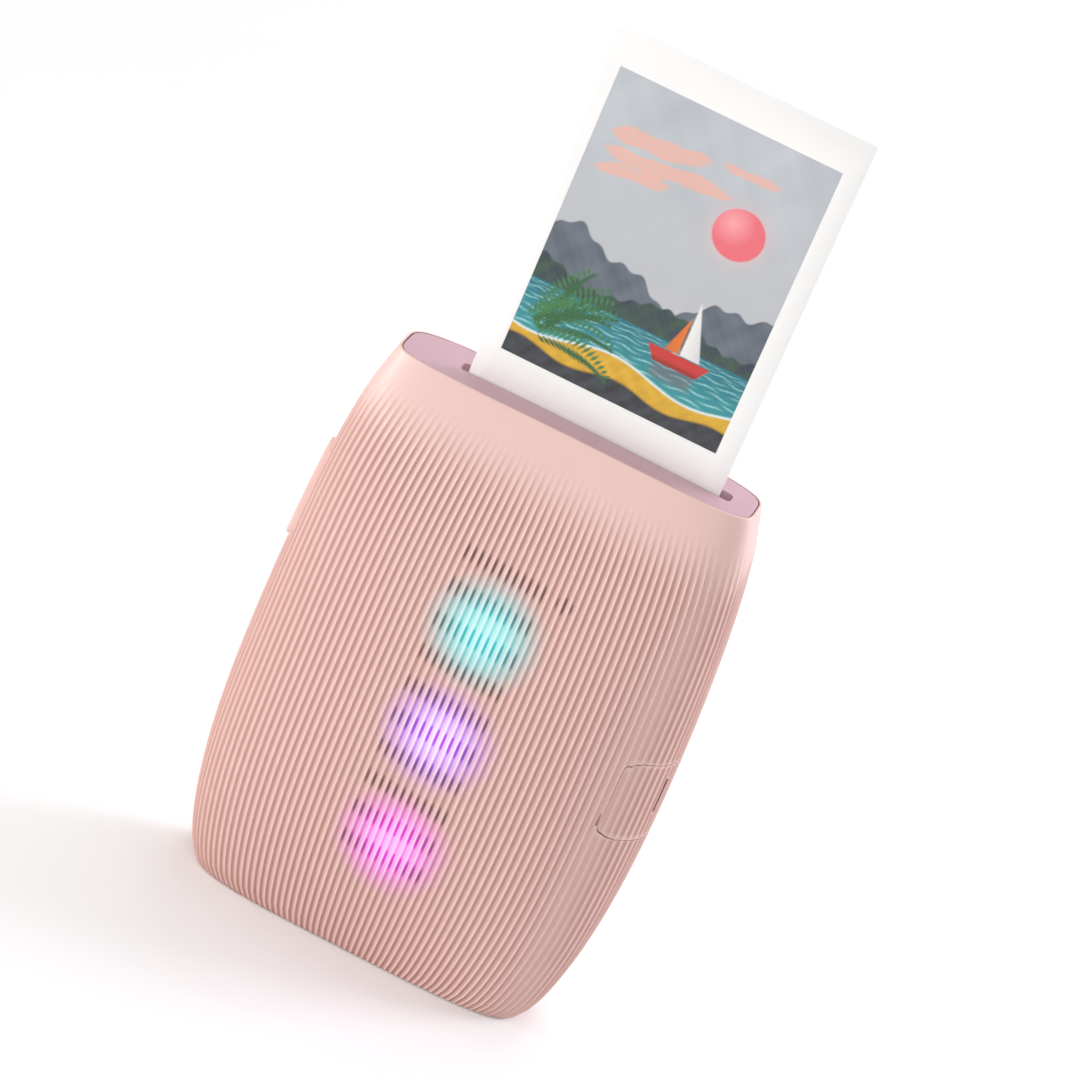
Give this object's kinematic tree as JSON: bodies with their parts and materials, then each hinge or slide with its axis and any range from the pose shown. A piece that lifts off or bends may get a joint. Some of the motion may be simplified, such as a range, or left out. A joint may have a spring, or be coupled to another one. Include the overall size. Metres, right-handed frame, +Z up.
{
  "type": "compact photo printer",
  "caption": "Pocket photo printer: barrel-shaped ribbed casing with a hinged film door, side latch and button, and an instant print rising from a slot in its flat top.",
  "frame": {"origin": "middle of the flat base that the printer stands on", "axes": "+Z up out of the print slot, +X to the viewer's right when facing the ribbed front, +Y to the film door at the back"},
  "size_m": [0.0905, 0.0346, 0.2015],
  "materials": {
    "pink_shell": "fine matt, pressed ribs",
    "mauve_cap": "satin",
    "print_card": "glossy white border",
    "picture": "glossy colour picture",
    "diffuser": "translucent white",
    "steel": "bright",
    "spring_steel": "bright",
    "window_clear": "clear",
    "foam": "black foam",
    "felt": "black felt",
    "black_abs": "moulded black",
    "gear_white": "natural acetal",
    "bush_plastic": "acetal",
    "roller_rubber": "ground rubber",
    "board_green": "circuit board",
    "chip_black": "moulded chips",
    "lamp_white": "clear lens",
    "battery_foil": "foil pouch",
    "motor_steel": "plated can",
    "socket_steel": "plated shell",
    "film_black": "glossy black backs",
    "lens_glass": "clear rods"
  },
  "bodies": {
    "housing": {"front_shell": "pink_shell", "rear_shell": "pink_shell", "top_cap": "mauve_cap", "light_diffusers": "diffuser", "door_seals": "foam", "slot_seals": "felt", "button_switch": "chip_black", "button_board": "board_green", "light_board": "board_green", "lamps": "lamp_white", "chassis": "black_abs", "chassis_screws": "steel", "shell_screws": "steel", "board_screws": "steel", "film_pack": "black_abs", "film_sheets": "film_black", "pack_spring": "spring_steel", "exposure_head": "black_abs", "head_lens": "lens_glass", "roller_bushes": "bush_plastic", "roller_clips": "spring_steel", "gear_axles": "steel", "gear_plate": "black_abs", "motor": "motor_steel", "main_board": "board_green", "board_parts": "chip_black", "battery": "battery_foil", "usb_socket": "socket_steel", "usb_board": "board_green"},
    "door": {"film_door": "pink_shell", "hinge_pin": "steel", "pack_window": "window_clear", "door_springs": "spring_steel"},
    "latch": {"door_latch": "pink_shell"},
    "button": {"side_button": "pink_shell"},
    "print": {"instant_print": "print_card", "print_image": "picture"},
    "claw": {"pick_claw": "black_abs"},
    "drive_roller_body": {"drive_roller": "roller_rubber", "roller_gear": "gear_white"},
    "pinch_roller_body": {"pinch_roller": "roller_rubber"},
    "upper_idler_body": {"upper_idler": "gear_white"},
    "lower_idler_body": {"lower_idler": "gear_white"},
    "second_gear_body": {"second_gear": "gear_white"},
    "first_gear_body": {"first_gear": "gear_white"},
    "motor_pinion_body": {"motor_pinion": "gear_white", "motor_shaft": "steel"}
  },
  "joints": [
    {"name": "door_hinge", "type": "hinge", "parent": "housing", "child": "door", "pos_m": [-0.0345, 0.0098, 0.0575], "axis": [0, 0, 1], "range_deg": [0, 100]},
    {"name": "latch_press", "type": "slide", "parent": "door", "child": "latch", "axis": [-1, 0, 0], "range_m": [0, 0.0014], "stiffness_N_per_m": 300},
    {"name": "button_press", "type": "slide", "parent": "housing", "child": "button", "axis": [1, 0, 0], "range_m": [0, 0.0008], "stiffness_N_per_m": 400},
    {"name": "print_slide", "type": "slide", "parent": "housing", "child": "print", "axis": [0, 0, 1], "range_m": [-0.085, 0.001]},
    {"name": "claw_slide", "type": "slide", "parent": "housing", "child": "claw", "axis": [0, 0, 1], "range_m": [0, 0.01]},
    {"name": "drive_roller_spin", "type": "hinge", "parent": "housing", "child": "drive_roller_body", "pos_m": [-0.031, -0.00015, 0.1142], "axis": [1, 0, 0], "range_deg": [-29.7, 2122.2]},
    {"name": "pinch_roller_spin", "type": "hinge", "parent": "housing", "child": "pinch_roller_body", "pos_m": [-0.031, -0.00545, 0.1142], "axis": [1, 0, 0], "range_deg": [-2122.2, 29.7]},
    {"name": "upper_idler_spin", "type": "hinge", "parent": "housing", "child": "upper_idler_body", "pos_m": [-0.031, -0.0004, 0.1052], "axis": [1, 0, 0], "range_deg": [-1697.9, 23.9]},
    {"name": "lower_idler_spin", "type": "hinge", "parent": "housing", "child": "lower_idler_body", "pos_m": [-0.031, -0.001, 0.09322], "axis": [1, 0, 0], "range_deg": [-17.2, 1212.9]},
    {"name": "second_gear_spin", "type": "hinge", "parent": "housing", "child": "second_gear_body", "pos_m": [-0.031, -0.001, 0.08322], "axis": [1, 0, 0], "range_deg": [-2829.5, 39.4]},
    {"name": "first_gear_spin", "type": "hinge", "parent": "housing", "child": "first_gear_body", "pos_m": [-0.031, -0.001, 0.07272], "axis": [1, 0, 0], "range_deg": [-97.8, 7073]},
    {"name": "motor_pinion_spin", "type": "hinge", "parent": "housing", "child": "motor_pinion_body", "pos_m": [-0.031, -0.001, 0.06422], "axis": [1, 0, 0], "range_deg": [-16974.4, 234.1]}
  ],
  "couplings": [
    {"joint": "drive_roller_spin", "follows": "print_slide", "rad_per_m": -434.78},
    {"joint": "pinch_roller_spin", "follows": "print_slide", "rad_per_m": 434.78},
    {"joint": "upper_idler_spin", "follows": "print_slide", "rad_per_m": 347.83},
    {"joint": "lower_idler_spin", "follows": "print_slide", "rad_per_m": -248.45},
    {"joint": "second_gear_spin", "follows": "print_slide", "rad_per_m": 579.71},
    {"joint": "first_gear_spin", "follows": "print_slide", "rad_per_m": -1449.3},
    {"joint": "motor_pinion_spin", "follows": "print_slide", "rad_per_m": 3478.3}
  ]
}
